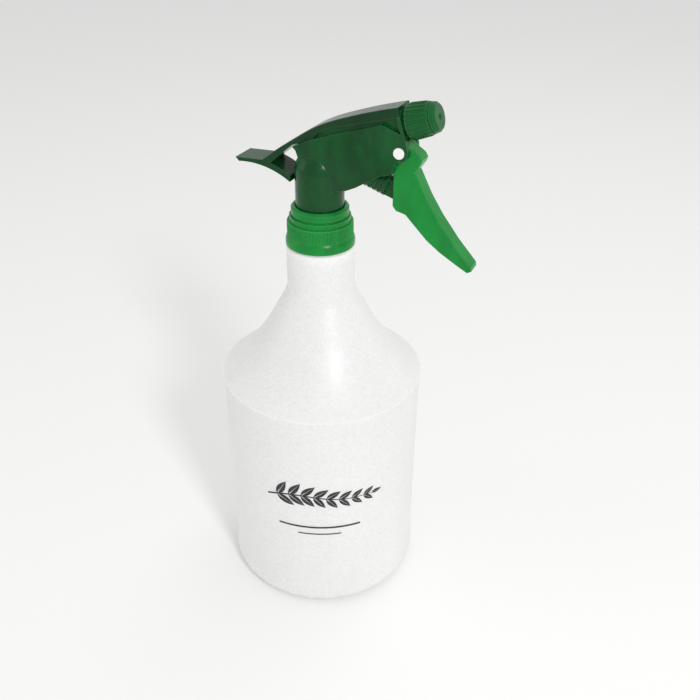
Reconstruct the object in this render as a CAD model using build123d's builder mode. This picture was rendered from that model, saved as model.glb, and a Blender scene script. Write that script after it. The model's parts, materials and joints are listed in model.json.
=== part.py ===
"""Hand mister: a one-litre bottle with a screw-on trigger spray head.

Frame: origin at the centre of the bottle's base, +Z up, +X the way the head sprays. Millimetres.
The head has two inclined axes in the XZ plane: the barrel axis falls towards the trigger, and the
nozzle axis rises towards the front. Sizes along them are measured from the points named below.
"""
import math
import os

from build123d import *

# ---------------------------------------------------------------- clearances
SEAT_GAP = 0.10       # between faces that rest on each other
PRESS_GAP = 0.04      # radial, between pieces pressed together
RUN_GAP = 0.06        # radial, a pin or piston in its bore
LOOSE_GAP = 0.35      # between pieces that pass each other freely

# ---------------------------------------------------------------- bottle
BODY_R = 49.5
FOOT_R = BODY_R + 0.7
FOOT_Z = 8.2
FOOT_TOP_Z = 15.5
HEEL_R = FOOT_R - 8.2
STAND_W = 3.0         # width of the flat ring the bottle stands on
BASE_RISE = 4.0
CREASE_R = BODY_R + 0.4
CREASE_Z = 122.6
CREASE_FLARE_H = 5.0
WALL = 0.9
FINISH_R = 12.45      # plain outside of the neck above its step
BORE_R = FINISH_R - 1.55
NECK_R = FINISH_R + 3.5
CONE_TOP_R = NECK_R + 1.75
SHOULDER_TOP_R = NECK_R + 7.85
SHOULDER_TOP_Z = CREASE_Z + 30.8
CONE_TOP_Z = SHOULDER_TOP_Z + 11.2
NECK_Z = CONE_TOP_Z + 7.4
NECK_STEP_Z = NECK_Z + 18.9
NECK_TOP_Z = NECK_STEP_Z + 13.7
SHOULDER_SAG_OUT = 0.43   # the shoulder's middle point, as shares of its width and height
SHOULDER_SAG_UP = 0.45
NECK_STEP_CHAMFER = 1.0
BORE_CONE_H = 5.0     # height of the taper from the neck's inside to the bore

# ---------------------------------------------------------------- neck thread
PITCH = 4.2
RIDGE_ROOT = 1.5
RIDGE_CREST = 0.7
RIDGE_H = 1.05
RIDGE_SINK = 0.3      # how far a ridge's root runs into its wall
NECK_THREAD_Z = NECK_STEP_Z + 2.8
NECK_THREAD_TURNS = 1.4
CAP_THREAD_TURNS = 1.0

# ---------------------------------------------------------------- closure cap
CAP_THREAD_WALL_R = FINISH_R + RIDGE_H + LOOSE_GAP
CAP_NECK_WALL_R = FINISH_R + LOOSE_GAP
CAP_BOTTOM_Z = NECK_STEP_Z + 0.4
SKIRT_TOP_R = CAP_THREAD_WALL_R + 1.15
KNURL_COUNT = 76
KNURL_H = 0.3
SKIRT_R = SKIRT_TOP_R + KNURL_H
SKIRT_TOP_Z = NECK_TOP_Z - 2.2
RIM_R = SKIRT_TOP_R + 1.1
RIM_FLARE_H = 4.6
LOWER_STEP_R = CAP_NECK_WALL_R + 1.3
LOWER_STEP_TOP_Z = NECK_TOP_Z + 0.4
STEP_GROOVE_R = LOWER_STEP_R - 1.1
STEP_GROOVE_H = 0.9
UPPER_STEP_R = LOWER_STEP_R - 0.8
CAP_CHAMFER = 0.9
CAP_TOP_WALL = 1.3
GASKET_T = 1.2
FLANGE_T = 2.0
FLANGE_R = FINISH_R - 0.55
CAP_SEAT_R = FLANGE_R + LOOSE_GAP

# ---------------------------------------------------------------- pump column
COLUMN_R = FLANGE_R - 0.8
COLUMN_WALL = 1.5
DOME_Z = NECK_TOP_Z + 20.7
TUBE_R = 2.5
INLET_BORE_R = TUBE_R + 1.2
INLET_R = INLET_BORE_R + 1.4
INLET_BOTTOM_Z = NECK_TOP_Z - 5.1
GASKET_Z = NECK_TOP_Z + SEAT_GAP
FLANGE_Z = GASKET_Z + GASKET_T + SEAT_GAP
CAP_INSIDE_Z = FLANGE_Z + FLANGE_T + 0.3
CAP_TOP_Z = CAP_INSIDE_Z + CAP_TOP_WALL
CAP_HOLE_R = COLUMN_R + 0.4
UPPER_STEP_TOP_Z = CAP_TOP_Z - CAP_CHAMFER

# ---------------------------------------------------------------- inlet valve and dip tube
BALL_R = 2.2
BALL_LIFT = 1.3
SEAT_Z = NECK_TOP_Z + 8.4
SEAT_R = 0.68 * BALL_R
BALL_Z = SEAT_Z + math.sqrt(BALL_R**2 - SEAT_R**2) + 0.04
BALL_CAGE_R = BALL_R + LOOSE_GAP
BALL_CAGE_TOP_Z = BALL_Z + BALL_R + BALL_LIFT + 0.2
PASSAGE_R = 1.3
TUBE_BORE_R = TUBE_R - 0.8
TUBE_BOTTOM_Z = 5.5
TUBE_SOCKET_TOP_Z = NECK_TOP_Z + 4.4
HOLDER_FLANGE_H = 1.8
TUBE_CUT_DEG = 40

# ---------------------------------------------------------------- barrel, piston and its spring
BARREL_TILT = 18.5
BARREL_REAR = (0.5, NECK_TOP_Z + 31.0)
BARREL_BORE_R = 5.55
BARREL_WALL = 1.35
BARREL_L = 21.5
BARREL_MOUTH_L = 8.0  # clear run of the bore ahead of the piston's front
STROKE = 8.55
HEAD_GAP = 1.6        # from the piston's head to the barrel's end at full stroke
PISTON_HEAD_S = STROKE + HEAD_GAP
PISTON_R = BARREL_BORE_R - 0.25
PISTON_FRONT_S = 34.6
PISTON_BORE_R = PISTON_R - 1.35
PISTON_BORE_END_S = 27.0
SEAL_L = 2.6
SEAL_ROOT_R = PISTON_R - 0.7
SEAL_LIP_L = 0.7
SEAL_STEP_L = 0.6     # collar on the piston's head that keeps the seal on
SEAL_STEP_H = 0.2
WIPER_S = PISTON_HEAD_S + 5.45
WIPER_L = 1.6
RIB_PITCH = 2.2
RIB_GAP = 1.0
RIB_DEPTH = 0.65
RIB_COUNT = 4
TONGUE_HALF_W = 2.2
TONGUE_LOW = -4.4
TONGUE_HIGH = 3.0
SPRING_WIRE_R = 0.4
SPRING_R = PISTON_BORE_R - 0.65
SPRING_TURNS = 10
SPRING_END_GAP = 0.15

# ---------------------------------------------------------------- trigger and its pin
PIN_X = 39.7
PIN_Z = NECK_TOP_Z + 36.3
PIN_R = 1.9
PIN_HEAD_R = PIN_R + 0.5
PIN_HEAD_T = 0.8
TRIGGER_HALF_W = 4.2
TRIGGER_SIDE_T = 1.4
TRIGGER_WEB_T = 2.0
WEB_BACK, WEB_DOWN = 0.86, 0.54   # direction of the web's thickness
TRIGGER_EYE_R = PIN_R + 2.4
TRIGGER_EDGE_R = 0.7
PUSH_BAR_R = 1.5
PUSH_BAR_S = 44.3     # where the push bar crosses the barrel axis

# ---------------------------------------------------------------- pump body walls
CHEEK_IN_HALF_W = TRIGGER_HALF_W + LOOSE_GAP
WALL_HALF_W = CHEEK_IN_HALF_W + 1.95
SPINE_HALF_W = WALL_HALF_W - 1.9
CHEEK_NOSE_R = PIN_R + 2.0
BULGE_R = BARREL_BORE_R + 2.45   # half width of the side walls' swelling round the barrel
BULGE_ARC_R = 60.0
BULGE_RISE_H = 1.5
BULGE_REAR_S = -12.0
BULGE_L = 52.0
POCKET_ROOF_GAP = 1.6     # from the duct down to the pocket's roof
POCKET_FRONT_T = 6.0
# where the nose of the cheek joins the wall, as shares of its radius
CHEEK_RUN = ((0.72, -0.69), (-0.26, -0.96))
FLANGE_PLATE_T = 1.3
POCKET_EYE_R = TRIGGER_EYE_R + 0.8

# ---------------------------------------------------------------- nozzle axis
NOZZLE_TILT = 17.5
NOZZLE_FACE = (40.4, NECK_TOP_Z + 47.4)   # where the nozzle axis leaves the front plate
DUCT_R = 3.6
DUCT_REAR_T = -34.0
DUCT_BORE_R = 1.5
VALVE_SEAT_T = -12.0
VALVE_BORE_R = 2.6
VALVE_SEAT_L = 0.6    # length of the seat's cone
VALVE_NOSE_L = 0.55
VALVE_NOSE_GAP = 0.15
VALVE_R = VALVE_BORE_R - 0.45
VALVE_HEAD_L = 1.6
VALVE_STEM_R = 0.8
VALVE_STEM_L = 2.4
VALVE_SPRING_R = VALVE_BORE_R - 1.0
VALVE_WIRE_R = 0.22
VALVE_SPRING_TURNS = 4
SPIGOT_PLUG_L = 6.0
SPIGOT_R = 4.2
SPIGOT_FRONT_T = 9.4
SPIGOT_FLANGE_R = SPIGOT_R + 1.2
SPIGOT_FLANGE_L = 1.2
SPIGOT_BORE_R = 1.1
SWIRL_R = 1.9
SWIRL_L = 3.6
SWIRL_STEP_L = 0.5
SWIRL_SLOT_L = 2.2
SWIRL_SLOT_W = 0.5
SWIRL_SLOTS = 3
NOZZLE_BACK_T = 1.7
NOZZLE_BACK_R = SPIGOT_R + 3.1
NOZZLE_GRIP_END_T = 11.2
NOZZLE_GRIP_END_R = SPIGOT_R + 2.35
NOZZLE_GROOVE_L = 0.8
NOZZLE_GROOVE_DEPTH = 0.55
NOZZLE_FRONT_T = 14.3
NOZZLE_FRONT_R = SPIGOT_R + 0.9
NOZZLE_GRIPS = 22
NOZZLE_GRIP_DEPTH = 0.4
NOZZLE_GRIP_R = 0.45
NOZZLE_GRIP_STOP_L = 1.5
NOZZLE_INSIDE_T = SPIGOT_FRONT_T + SWIRL_STEP_L + 0.5
ORIFICE_R = 0.45
RING_SECTION_R = 0.75
RING_T = 3.5


def raised(points):
    """Outline points given by x and height above the neck's top, as XZ points."""
    return [(x, NECK_TOP_Z + height) for x, height in points]


# ---------------------------------------------------------------- head cover (roof and tail)
COVER_HALF_W = WALL_HALF_W
COVER_TOP_T = 1.4
COVER_SIDE_T = 1.3
COVER_EDGE_R = 0.9
ROOF_TAIL = raised([(-25.5, 23.7)])[0]
ROOF_POINTS = raised([(-16.9, 30.1), (-8.1, 36.1), (2.0, 42.3), (14.4, 47.4), (22.0, 50.0)])
ROOF_FRONT_H = 7.6    # roof's front edge above the nozzle axis
TAIL_TIP = raised([(-39.0, 23.0)])[0]

COVER_RAIL_H = 3.8    # rail's lower edge above the nozzle axis at the front
RAIL_FOOT = raised([(2.6, 39.6), (8.5, 42.6)])
HOLE_STRIP = raised([(-21.3, 22.9), (-14.5, 28.7), (-9.8, 32.6)])
TAIL_UNDER = raised([(-37.3, 21.3), (-29.1, 21.5), (-19.3, 19.4), (-11.6, 15.6)])
STRUT_TOP = raised([(-11.6, 18.3), (-15.0, 20.3)])
PLATE_LOW_H = -10.5
PLATE_HIGH_H = 5.9
SLOT_FRONT_T = -4.4

# ---------------------------------------------------------------- pump body side walls
LEDGE_REAR = raised([(0.3, 36.8)])[0]
LEDGE_FRONT = raised([(31.3, 47.0)])[0]
WALL_REAR = raised([(-7.6, 17.4), (-7.6, 24.8), (-6.7, 28.0), (-7.6, 30.9), (-9.2, 32.4)])
WALL_BOTTOM = raised(
    [(37.0, 27.3), (34.8, 26.4), (32.4, 25.9), (24.3, 21.0), (20.9, 18.8), (16.2, 16.4), (9.0, 14.3)]
)
LEDGE_SLOPE = (LEDGE_FRONT[1] - LEDGE_REAR[1]) / (LEDGE_FRONT[0] - LEDGE_REAR[0])
BODY_EDGE_R = 0.5
BLOCK_REAR_X = -10.0  # ends of the block under the roof, and its lower edge at the front plate
BLOCK_FRONT_X = 30.0
BLOCK_LOW_H = -4.0
WALL_FRONT_H = -3.2
POCKET = raised([(28.0, 10.4), (28.0, 28.9), (33.0, 36.9)])
POCKET_FRONT = raised([(52.0, 10.4)])[0]

# ---------------------------------------------------------------- trigger outline
TRIGGER_NOSE = raised([(42.5, 38.6), (47.6, 35.4), (48.8, 33.5), (48.4, 31.8)])
TRIGGER_FRONT = raised([(46.1, 28.0), (51.4, 17.9), (57.0, 9.4), (65.0, -0.6), (73.4, -9.6)])
TRIGGER_TIP = raised([(73.7, -11.4)])[0]
TRIGGER_BACK = raised([(71.9, -12.4), (66.5, -9.6), (59.0, -5.4), (52.8, -1.0), (45.4, 6.2)])
TRIGGER_HEEL = raised([(42.6, 9.0), (38.2, 10.0), (36.6, 12.0), (36.5, 26.3), (37.1, 30.6)])
CHANNEL_TOP = raised([(34.0, 27.6), (40.6, 27.6)])
CHANNEL_FOOT = raised([(69.0, -8.2), (66.0, -14.6), (34.0, 0.4)])

# ---------------------------------------------------------------- planes and axes of the head
BARREL_DIR = (math.cos(math.radians(BARREL_TILT)), 0, -math.sin(math.radians(BARREL_TILT)))
NOZZLE_DIR = (math.cos(math.radians(NOZZLE_TILT)), 0, math.sin(math.radians(NOZZLE_TILT)))
BARREL_START = (BARREL_REAR[0], 0, BARREL_REAR[1])
NOZZLE_START = (NOZZLE_FACE[0], 0, NOZZLE_FACE[1])
barrel_plane = Plane(origin=BARREL_START, x_dir=BARREL_DIR, z_dir=(0, -1, 0))
nozzle_plane = Plane(origin=NOZZLE_START, x_dir=NOZZLE_DIR, z_dir=(0, -1, 0))
barrel_axis = Axis(BARREL_START, BARREL_DIR)
nozzle_axis = Axis(NOZZLE_START, NOZZLE_DIR)


def along_barrel(s, h=0.0):
    """XZ point at s along the barrel axis and h above it."""
    point = barrel_plane.from_local_coords((s, h, 0))
    return (point.X, point.Z)


def along_nozzle(t, h=0.0):
    """XZ point at t along the nozzle axis and h above it."""
    point = nozzle_plane.from_local_coords((t, h, 0))
    return (point.X, point.Z)


def across_nozzle(t):
    """Plane square to the nozzle axis at t."""
    return Plane(origin=nozzle_plane.from_local_coords((t, 0, 0)), x_dir=(0, 1, 0), z_dir=NOZZLE_DIR)


ROOF_FRONT = along_nozzle(0, ROOF_FRONT_H)


os.makedirs("parts", exist_ok=True)


def save(part, label):
    """Name a finished piece and write its STEP file."""
    part.label = label
    export_step(part, f"parts/{label}.step")


def screw_ridge(start_z, radius, pitch, turns, root, crest, height, outward=True):
    """A helical ridge about Z: a trapezium swept from start_z at angle 0."""
    side = 1 if outward else -1
    with BuildPart() as ridge:
        with BuildLine() as path:
            Helix(pitch=pitch, height=pitch * turns, radius=radius, center=(0, 0, start_z))
        start = Plane(origin=path.line @ 0, x_dir=(1, 0, 0), z_dir=path.line % 0)
        with BuildSketch(start):
            Polygon(
                (-side * RIDGE_SINK, -root / 2),
                (side * height, -crest / 2),
                (side * height, crest / 2),
                (-side * RIDGE_SINK, root / 2),
                align=None,
            )
        sweep(path=path.line, is_frenet=True)
    return ridge.part


def bottle_outline(inset):
    """Half outline of the bottle from the base centre to the neck step, moved inwards by inset."""
    rise = BASE_RISE + inset
    shoulder_in = 0.72 * inset
    cone_r_in = 0.88 * inset
    cone_z_in = 0.47 * inset
    crease = (CREASE_R - inset, CREASE_Z - 0.6 * inset)
    mid_r = SHOULDER_TOP_R + SHOULDER_SAG_OUT * (CREASE_R - SHOULDER_TOP_R)
    mid_z = CREASE_Z + SHOULDER_SAG_UP * (SHOULDER_TOP_Z - CREASE_Z)
    mid = (mid_r - shoulder_in, mid_z - shoulder_in)
    end = (SHOULDER_TOP_R - cone_r_in, SHOULDER_TOP_Z - cone_z_in)
    cone_end = (CONE_TOP_R - cone_r_in, CONE_TOP_Z - cone_z_in)
    neck = (NECK_R - inset, NECK_Z)
    corner_r = FOOT_R - HEEL_R - inset
    diagonal = corner_r * (1 - math.sqrt(0.5))
    ring_r = HEEL_R - STAND_W
    ThreePointArc((0, rise), (ring_r / 2, inset + 0.75 * BASE_RISE), (ring_r, inset))
    Line((ring_r, inset), (HEEL_R, inset))
    ThreePointArc(
        (HEEL_R, inset),
        (FOOT_R - inset - diagonal, inset + (FOOT_Z - inset) * (1 - math.sqrt(0.5))),
        (FOOT_R - inset, FOOT_Z),
    )
    Polyline(
        (FOOT_R - inset, FOOT_Z),
        (BODY_R - inset, FOOT_TOP_Z),
        (BODY_R - inset, CREASE_Z - CREASE_FLARE_H),
        crease,
    )
    ThreePointArc(crease, mid, end)
    Line(end, cone_end)
    TangentArc(neck, cone_end, tangent=(0, -1))
    return neck, (0, rise)


# ================================================================ bottle
with BuildPart() as bottle:
    with BuildSketch(Plane.XZ):
        with BuildLine():
            neck_foot, base_centre = bottle_outline(0)
            Polyline(
                neck_foot,
                (NECK_R, NECK_STEP_Z - NECK_STEP_CHAMFER),
                (NECK_R - NECK_STEP_CHAMFER, NECK_STEP_Z),
                (FINISH_R, NECK_STEP_Z),
                (FINISH_R, NECK_TOP_Z),
                (0, NECK_TOP_Z),
                base_centre,
            )
        make_face()
    revolve(axis=Axis.Z)
    add(screw_ridge(NECK_THREAD_Z, FINISH_R, PITCH, NECK_THREAD_TURNS, RIDGE_ROOT, RIDGE_CREST, RIDGE_H))
    with BuildSketch(Plane.XZ):
        with BuildLine():
            inner_neck, floor_centre = bottle_outline(WALL)
            Polyline(
                inner_neck,
                (NECK_R - WALL, NECK_STEP_Z - BORE_CONE_H),
                (BORE_R, NECK_STEP_Z),
                (BORE_R, NECK_TOP_Z + 1),
                (0, NECK_TOP_Z + 1),
                floor_centre,
            )
        make_face()
    revolve(axis=Axis.Z, mode=Mode.SUBTRACT)
save(bottle.part, "bottle")

# ================================================================ neck gasket
with BuildPart() as neck_gasket:
    with BuildSketch(Plane.XY.offset(GASKET_Z)):
        Circle(FLANGE_R)
        Circle(INLET_R + LOOSE_GAP, mode=Mode.SUBTRACT)
    extrude(amount=GASKET_T)
save(neck_gasket.part, "neck_gasket")

# ================================================================ closure cap
RIDGE_TAPER = (RIDGE_ROOT - RIDGE_CREST) * (CAP_THREAD_WALL_R - FINISH_R) / (2 * RIDGE_H)
CAP_THREAD_Z = NECK_THREAD_Z - (RIDGE_ROOT - RIDGE_TAPER + LOOSE_GAP)
KNURL_Z = CAP_BOTTOM_Z + RIM_FLARE_H
knurl_points = []
for i in range(2 * KNURL_COUNT):
    knurl_r = SKIRT_R if i % 2 else SKIRT_TOP_R
    knurl_angle = math.pi * i / KNURL_COUNT
    knurl_points.append((knurl_r * math.cos(knurl_angle), knurl_r * math.sin(knurl_angle)))

with BuildPart() as closure_cap:
    with BuildSketch(Plane.XZ):
        with BuildLine():
            RIM_TOP = (RIM_R, CAP_BOTTOM_Z + RIM_FLARE_H / 3)
            Line((CAP_THREAD_WALL_R, CAP_BOTTOM_Z), (RIM_R, CAP_BOTTOM_Z))
            Line((RIM_R, CAP_BOTTOM_Z), RIM_TOP)
            TangentArc(RIM_TOP, (SKIRT_TOP_R, KNURL_Z), tangent=(0, 1))
            Polyline(
                (SKIRT_TOP_R, KNURL_Z),
                (SKIRT_TOP_R, SKIRT_TOP_Z),
                (LOWER_STEP_R, SKIRT_TOP_Z),
                (LOWER_STEP_R, LOWER_STEP_TOP_Z),
                (STEP_GROOVE_R, LOWER_STEP_TOP_Z),
                (STEP_GROOVE_R, LOWER_STEP_TOP_Z + STEP_GROOVE_H),
                (UPPER_STEP_R, LOWER_STEP_TOP_Z + STEP_GROOVE_H),
                (UPPER_STEP_R, UPPER_STEP_TOP_Z),
                (UPPER_STEP_R - CAP_CHAMFER, CAP_TOP_Z),
                (CAP_HOLE_R, CAP_TOP_Z),
                (CAP_HOLE_R, CAP_INSIDE_Z),
                (CAP_SEAT_R, CAP_INSIDE_Z),
                (CAP_SEAT_R, GASKET_Z + SEAT_GAP),
                (CAP_NECK_WALL_R, GASKET_Z + SEAT_GAP),
                (CAP_NECK_WALL_R, SKIRT_TOP_Z - CAP_CHAMFER),
                (CAP_THREAD_WALL_R, SKIRT_TOP_Z - 2 * CAP_CHAMFER),
                (CAP_THREAD_WALL_R, CAP_BOTTOM_Z),
            )
        make_face()
    revolve(axis=Axis.Z)
    with BuildSketch(Plane.XY.offset(KNURL_Z)):
        Polygon(*knurl_points, align=None)
        Circle(SKIRT_TOP_R - KNURL_H, mode=Mode.SUBTRACT)
    extrude(amount=SKIRT_TOP_Z - KNURL_Z - KNURL_H)
    add(
        screw_ridge(
            CAP_THREAD_Z, CAP_THREAD_WALL_R, PITCH, CAP_THREAD_TURNS,
            RIDGE_ROOT, RIDGE_CREST, RIDGE_H, outward=False,
        )
    )
save(closure_cap.part, "closure_cap")

# ================================================================ pump body
def roof_line(drop, rear, front):
    """Points of the roof's top line, lowered by drop, between two x values."""
    points = [ROOF_TAIL] + ROOF_POINTS + [ROOF_FRONT]
    return [(x, z - drop) for x, z in points if rear <= x <= front]


def inner_block(top_gap, front_t):
    """Side outline of the block under the roof, top_gap below the roof's top line."""
    top = roof_line(top_gap, BLOCK_REAR_X, BLOCK_FRONT_X)
    return [
        (top[0][0], WALL_REAR[-1][1] - 1),
        *top,
        along_nozzle(front_t, PLATE_HIGH_H),
        along_nozzle(front_t, BLOCK_LOW_H),
    ]


wall_outline = [
    *WALL_REAR,
    LEDGE_REAR,
    LEDGE_FRONT,
    along_nozzle(-FLANGE_PLATE_T, WALL_FRONT_H),
    along_nozzle(0, PLATE_LOW_H),
    *[(PIN_X + out * CHEEK_NOSE_R, PIN_Z + up * CHEEK_NOSE_R) for out, up in CHEEK_RUN],
    *WALL_BOTTOM,
]

with BuildPart() as bulge:
    with BuildSketch(Plane(origin=BARREL_START, x_dir=(0, 1, 0), z_dir=BARREL_DIR).offset(BULGE_REAR_S)):
        lens_centre = BULGE_ARC_R - BULGE_R
        with Locations((lens_centre, BULGE_RISE_H)):
            Circle(BULGE_ARC_R)
        with Locations((-lens_centre, BULGE_RISE_H)):
            Circle(BULGE_ARC_R, mode=Mode.INTERSECT)
    extrude(amount=BULGE_L)
    with BuildSketch(Plane.XZ):
        Polygon(*wall_outline, align=None)
    extrude(amount=BULGE_R + 1, both=True, mode=Mode.INTERSECT)

with BuildPart() as pump_body:
    with BuildSketch(Plane.XZ):
        Polygon(*wall_outline, align=None)
        with Locations((PIN_X, PIN_Z)):
            Circle(CHEEK_NOSE_R)
    extrude(amount=WALL_HALF_W, both=True)
    add(bulge.part)
    with BuildSketch(Plane.XZ):
        Polygon(*inner_block(COVER_TOP_T + SEAT_GAP, -FLANGE_PLATE_T), align=None)
    extrude(amount=SPINE_HALF_W, both=True)
    # front plate: full width below the roof's rails, narrower between them
    with BuildSketch(nozzle_plane):
        Polygon(
            (-FLANGE_PLATE_T, PLATE_LOW_H),
            (0, PLATE_LOW_H),
            (0, COVER_RAIL_H - SEAT_GAP),
            (-FLANGE_PLATE_T, COVER_RAIL_H - SEAT_GAP),
            align=None,
        )
    extrude(amount=WALL_HALF_W, both=True)
    with BuildSketch(nozzle_plane):
        Polygon(
            (-FLANGE_PLATE_T, PLATE_LOW_H),
            (0, PLATE_LOW_H),
            (0, PLATE_HIGH_H - SEAT_GAP),
            (-FLANGE_PLATE_T, PLATE_HIGH_H - SEAT_GAP),
            align=None,
        )
    extrude(amount=COVER_HALF_W - COVER_SIDE_T - SEAT_GAP, both=True)
    # pocket that the trigger's eye and sides swing in
    with BuildSketch(Plane.XZ):
        Polygon(
            *POCKET,
            along_nozzle(-FLANGE_PLATE_T, -DUCT_R - POCKET_ROOF_GAP),
            along_nozzle(POCKET_FRONT_T, -DUCT_R - POCKET_ROOF_GAP),
            POCKET_FRONT,
            align=None,
        )
        with Locations((PIN_X, PIN_Z)):
            Circle(POCKET_EYE_R)
    extrude(amount=CHEEK_IN_HALF_W, both=True, mode=Mode.SUBTRACT)
    # column: an outer shell with a domed top, closed round the inlet tube
    with BuildSketch(Plane.XZ):
        with BuildLine():
            Line((0, DOME_Z + COLUMN_R), (0, FLANGE_Z))
            Polyline(
                (0, FLANGE_Z),
                (FLANGE_R, FLANGE_Z),
                (FLANGE_R, FLANGE_Z + FLANGE_T),
                (COLUMN_R, FLANGE_Z + FLANGE_T),
                (COLUMN_R, DOME_Z),
            )
            RadiusArc((COLUMN_R, DOME_Z), (0, DOME_Z + COLUMN_R), -COLUMN_R)
        make_face()
    revolve(axis=Axis.Z)
    with BuildSketch(Plane.XY.offset(FLANGE_Z)):
        Circle(COLUMN_R - COLUMN_WALL)
        Circle(INLET_R, mode=Mode.SUBTRACT)
    extrude(amount=BALL_CAGE_TOP_Z - FLANGE_Z, mode=Mode.SUBTRACT)
    with BuildSketch(Plane.XY.offset(INLET_BOTTOM_Z)):
        Circle(INLET_R)
    extrude(amount=FLANGE_Z + FLANGE_T - INLET_BOTTOM_Z)
    # barrel wall and nozzle duct
    with BuildSketch(barrel_plane):
        Polygon((-BARREL_WALL, 0), (BARREL_L, 0), (BARREL_L, BARREL_BORE_R + BARREL_WALL),
                (-BARREL_WALL, BARREL_BORE_R + BARREL_WALL), align=None)
    revolve(axis=barrel_axis)
    with BuildSketch(nozzle_plane):
        Polygon((DUCT_REAR_T, 0), (0, 0), (0, DUCT_R), (DUCT_REAR_T, DUCT_R), align=None)
    revolve(axis=nozzle_axis)
    # bores: inlet, ball cage, passage to the barrel, barrel, duct and valve chamber
    with BuildSketch(Plane.XZ):
        Polygon(
            (0, INLET_BOTTOM_Z),
            (INLET_BORE_R, INLET_BOTTOM_Z),
            (INLET_BORE_R, SEAT_Z + SEAT_GAP),
            (BALL_CAGE_R, SEAT_Z + SEAT_GAP),
            (BALL_CAGE_R, BALL_CAGE_TOP_Z),
            (PASSAGE_R, BALL_CAGE_TOP_Z),
            (PASSAGE_R, BARREL_REAR[1] - BARREL_BORE_R / 2),
            (0, BARREL_REAR[1] - BARREL_BORE_R / 2),
            align=None,
        )
    revolve(axis=Axis.Z, mode=Mode.SUBTRACT)
    with BuildSketch(barrel_plane):
        Polygon(
            (0, 0),
            (PISTON_FRONT_S + BARREL_MOUTH_L, 0),
            (PISTON_FRONT_S + BARREL_MOUTH_L, BARREL_BORE_R),
            (0, BARREL_BORE_R),
            align=None,
        )
    revolve(axis=barrel_axis, mode=Mode.SUBTRACT)
    with BuildSketch(nozzle_plane):
        Polygon(
            (DUCT_REAR_T - DUCT_R, 0),
            (1, 0),
            (1, VALVE_BORE_R),
            (VALVE_SEAT_T, VALVE_BORE_R),
            (VALVE_SEAT_T - VALVE_SEAT_L, DUCT_BORE_R),
            (DUCT_REAR_T - DUCT_R, DUCT_BORE_R),
            align=None,
        )
    revolve(axis=nozzle_axis, mode=Mode.SUBTRACT)
    # moulded edges along the ledges and round the front plate
    ledge_edges = (
        pump_body.edges()
        .filter_by(lambda e: abs(abs(e.center().Y) - WALL_HALF_W) < 0.01)
        .filter_by(lambda e: abs((e % 0.5).Z / (e % 0.5).X - LEDGE_SLOPE) < 0.01 if (e % 0.5).X else False)
        .filter_by_position(Axis.Z, LEDGE_REAR[1], LEDGE_FRONT[1])
    )
    fillet(ledge_edges, radius=BODY_EDGE_R)
    # pin bore through both cheeks
    with BuildSketch(Plane.XZ):
        with Locations((PIN_X, PIN_Z)):
            Circle(PIN_R + PRESS_GAP)
    extrude(amount=WALL_HALF_W + 1, both=True, mode=Mode.SUBTRACT)
save(pump_body.part, "pump_body")

# ================================================================ head cover
with BuildPart() as head_cover:
    with BuildSketch(Plane.XZ):
        with BuildLine():
            Polyline(ROOF_TAIL, TAIL_TIP, TAIL_UNDER[0])
            Spline(*TAIL_UNDER)
            Line(TAIL_UNDER[-1], STRUT_TOP[0])
            Spline(*STRUT_TOP, HOLE_STRIP[0])
            Polyline(
                *HOLE_STRIP,
                (LEDGE_REAR[0], LEDGE_REAR[1] + SEAT_GAP),
                *RAIL_FOOT,
                along_nozzle(SLOT_FRONT_T, COVER_RAIL_H),
                along_nozzle(0, COVER_RAIL_H),
                ROOF_FRONT,
            )
            Spline(ROOF_FRONT, *reversed(ROOF_POINTS), ROOF_TAIL)
        make_face()
    extrude(amount=COVER_HALF_W, both=True)
    roof_edges = head_cover.edges().filter_by(GeomType.BSPLINE).group_by(Axis.Z)[-1]
    fillet(roof_edges, radius=COVER_EDGE_R)
    with BuildSketch(Plane.XZ):
        Polygon(*inner_block(COVER_TOP_T, 1), align=None)
    extrude(amount=COVER_HALF_W - COVER_SIDE_T, both=True, mode=Mode.SUBTRACT)
save(head_cover.part, "head_cover")

# ================================================================ trigger
with BuildPart() as trigger:
    with BuildSketch(Plane.XZ):
        Polygon(*TRIGGER_NOSE, *TRIGGER_FRONT, TRIGGER_TIP, *TRIGGER_BACK, *TRIGGER_HEEL, align=None)
        with Locations((PIN_X, PIN_Z)):
            Circle(TRIGGER_EYE_R)
    extrude(amount=TRIGGER_HALF_W, both=True)
    for side in (-1, 1):
        side_face = trigger.faces().sort_by(Axis.Y)[side if side < 0 else 0]
        fillet(side_face.outer_wire().edges(), radius=TRIGGER_EDGE_R)
    # channel behind the front web, open at the back
    with BuildSketch(Plane.XZ):
        inner_front = [(x - WEB_BACK * TRIGGER_WEB_T, z - WEB_DOWN * TRIGGER_WEB_T) for x, z in TRIGGER_FRONT]
        Polygon(*CHANNEL_TOP, *inner_front[:4], *CHANNEL_FOOT, align=None)
    extrude(amount=TRIGGER_HALF_W - TRIGGER_SIDE_T, both=True, mode=Mode.SUBTRACT)
    with BuildSketch(Plane.XZ):
        with Locations(along_barrel(PUSH_BAR_S)):
            Circle(PUSH_BAR_R)
    extrude(amount=TRIGGER_HALF_W - TRIGGER_SIDE_T / 2, both=True)
    with BuildSketch(Plane.XZ):
        with Locations((PIN_X, PIN_Z)):
            Circle(PIN_R + RUN_GAP)
    extrude(amount=TRIGGER_HALF_W + 1, both=True, mode=Mode.SUBTRACT)
save(trigger.part, "trigger")

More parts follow.
